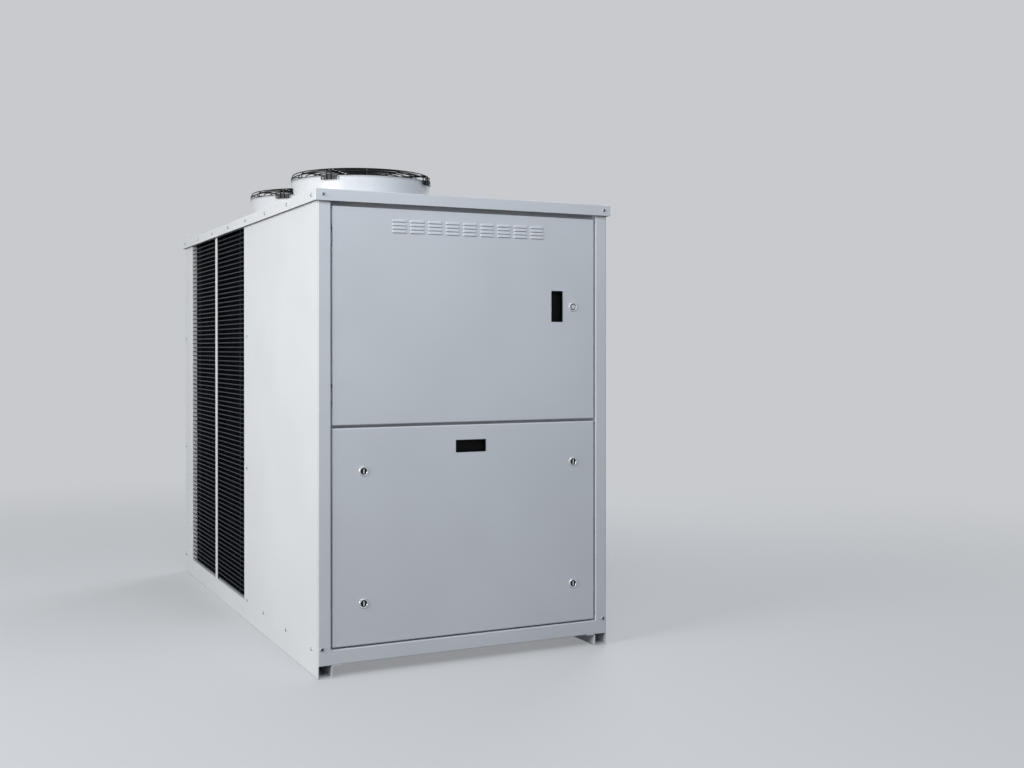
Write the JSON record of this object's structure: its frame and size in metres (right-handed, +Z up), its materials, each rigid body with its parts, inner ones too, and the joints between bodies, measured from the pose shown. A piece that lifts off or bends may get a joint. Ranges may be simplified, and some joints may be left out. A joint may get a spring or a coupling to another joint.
{
  "type": "industrial chiller",
  "caption": "Air-cooled industrial chiller: sheet-metal casing on skids with a hinged louvred door, a lift-off service panel, guarded side coils and roof fans.",
  "frame": {"origin": "on the floor under the middle of the casing", "axes": "+Z up, -Y out of the door side, +X to the right when facing the doors"},
  "size_m": [0.989, 1.945, 1.608],
  "materials": {
    "white_sheet": "powder coated, semi-matt",
    "grey_sheet": "powder coated, semi-matt",
    "frame_sheet": "powder coated, semi-matt",
    "galvanised_sheet": "hot-dip galvanised",
    "white_cowl": "powder coated, semi-matt",
    "guard_wire": "powder coated wire",
    "coil_guard_wire": "powder coated wire",
    "coil_fins": "dark coated fins",
    "impeller": "glass-filled nylon",
    "motor": "dark enamel",
    "black_plastic": "moulded nylon",
    "seal": "foam rubber",
    "lock_metal": "die-cast zinc, nickel plated",
    "screw_steel": "zinc plated",
    "switchgear_plastic": "moulded housings",
    "compressor_paint": "black enamel",
    "tank_insulation": "closed-cell foam jacket",
    "stainless": "stainless steel",
    "copper": "copper tube"
  },
  "bodies": {
    "casing": {"skid_left": "white_sheet", "skid_right": "white_sheet", "base_rail_front": "grey_sheet", "base_rail_rear": "white_sheet", "base_rail_left": "white_sheet", "base_rail_right": "white_sheet", "base_pan": "galvanised_sheet", "post_front_left": "grey_sheet", "post_front_right": "grey_sheet", "post_rear_left": "white_sheet", "post_rear_right": "white_sheet", "top_rail_front": "frame_sheet", "top_rail_rear": "frame_sheet", "top_rail_left": "frame_sheet", "top_rail_right": "frame_sheet", "mid_rail": "frame_sheet", "partition_wall": "galvanised_sheet", "roof_cap": "white_sheet", "side_panel_left": "white_sheet", "side_panel_right": "white_sheet", "rear_panel": "white_sheet", "mullions": "white_sheet", "coil_guard_left": "coil_guard_wire", "coil_guard_right": "coil_guard_wire", "condenser_coil_left": "coil_fins", "condenser_coil_right": "coil_fins", "fan_cowl_front": "white_cowl", "fan_cowl_rear": "white_cowl", "fan_guard_front": "guard_wire", "fan_guard_rear": "guard_wire", "fan_motor_front": "motor", "fan_motor_rear": "motor", "hinge_frame_leaves": "frame_sheet", "mounting_plate": "galvanised_sheet", "switchgear": "switchgear_plastic", "cable_gland": "switchgear_plastic", "compressor": "compressor_paint", "buffer_tank": "tank_insulation", "machine_feet": "seal", "plate_exchanger": "stainless", "circulation_pump": "motor", "water_pipes": "stainless", "refrigerant_pipes": "copper", "cover_screws": "screw_steel"},
    "front_fan": {"fan_impeller_front": "impeller"},
    "rear_fan": {"fan_impeller_rear": "impeller"},
    "door": {"upper_door": "grey_sheet", "upper_door_gasket": "seal", "upper_door_grip": "black_plastic", "upper_lock_housing": "lock_metal", "hinge_door_leaves": "frame_sheet"},
    "door_cam": {"upper_lock_cam": "lock_metal"},
    "service_panel": {"lower_panel": "grey_sheet", "lower_panel_gasket": "seal", "lower_panel_grip": "black_plastic", "lower_lock_housings": "lock_metal"},
    "cam_top_left": {"lock_cam_top_left": "lock_metal"},
    "cam_top_right": {"lock_cam_top_right": "lock_metal"},
    "cam_bottom_left": {"lock_cam_bottom_left": "lock_metal"},
    "cam_bottom_right": {"lock_cam_bottom_right": "lock_metal"}
  },
  "joints": [
    {"name": "front_fan_spin", "type": "hinge", "parent": "casing", "child": "front_fan", "pos_m": [0, 0.052, 1.5], "axis": [0, 0, 1], "continuous": true},
    {"name": "rear_fan_spin", "type": "hinge", "parent": "casing", "child": "rear_fan", "pos_m": [0, 0.668, 1.5], "axis": [0, 0, 1], "continuous": true},
    {"name": "door_hinge", "type": "hinge", "parent": "casing", "child": "door", "pos_m": [-0.431, -0.951, 1.0533], "axis": [0, 0, -1], "range_deg": [0, 105]},
    {"name": "door_cam_turn", "type": "hinge", "parent": "door", "child": "door_cam", "pos_m": [0.3605, -0.945, 1.091], "axis": [0, -1, 0], "range_deg": [0, 90]},
    {"name": "service_panel_lift_off", "type": "slide", "parent": "casing", "child": "service_panel", "axis": [0, -1, 0], "range_m": [0, 0.4]},
    {"name": "cam_top_left_turn", "type": "hinge", "parent": "service_panel", "child": "cam_top_left", "pos_m": [-0.342, -0.945, 0.597], "axis": [0, 1, 0], "range_deg": [0, 90]},
    {"name": "cam_top_right_turn", "type": "hinge", "parent": "service_panel", "child": "cam_top_right", "pos_m": [0.3605, -0.945, 0.597], "axis": [0, -1, 0], "range_deg": [0, 90]},
    {"name": "cam_bottom_left_turn", "type": "hinge", "parent": "service_panel", "child": "cam_bottom_left", "pos_m": [-0.342, -0.945, 0.208], "axis": [0, 1, 0], "range_deg": [0, 90]},
    {"name": "cam_bottom_right_turn", "type": "hinge", "parent": "service_panel", "child": "cam_bottom_right", "pos_m": [0.3605, -0.945, 0.208], "axis": [0, -1, 0], "range_deg": [0, 90]}
  ]
}
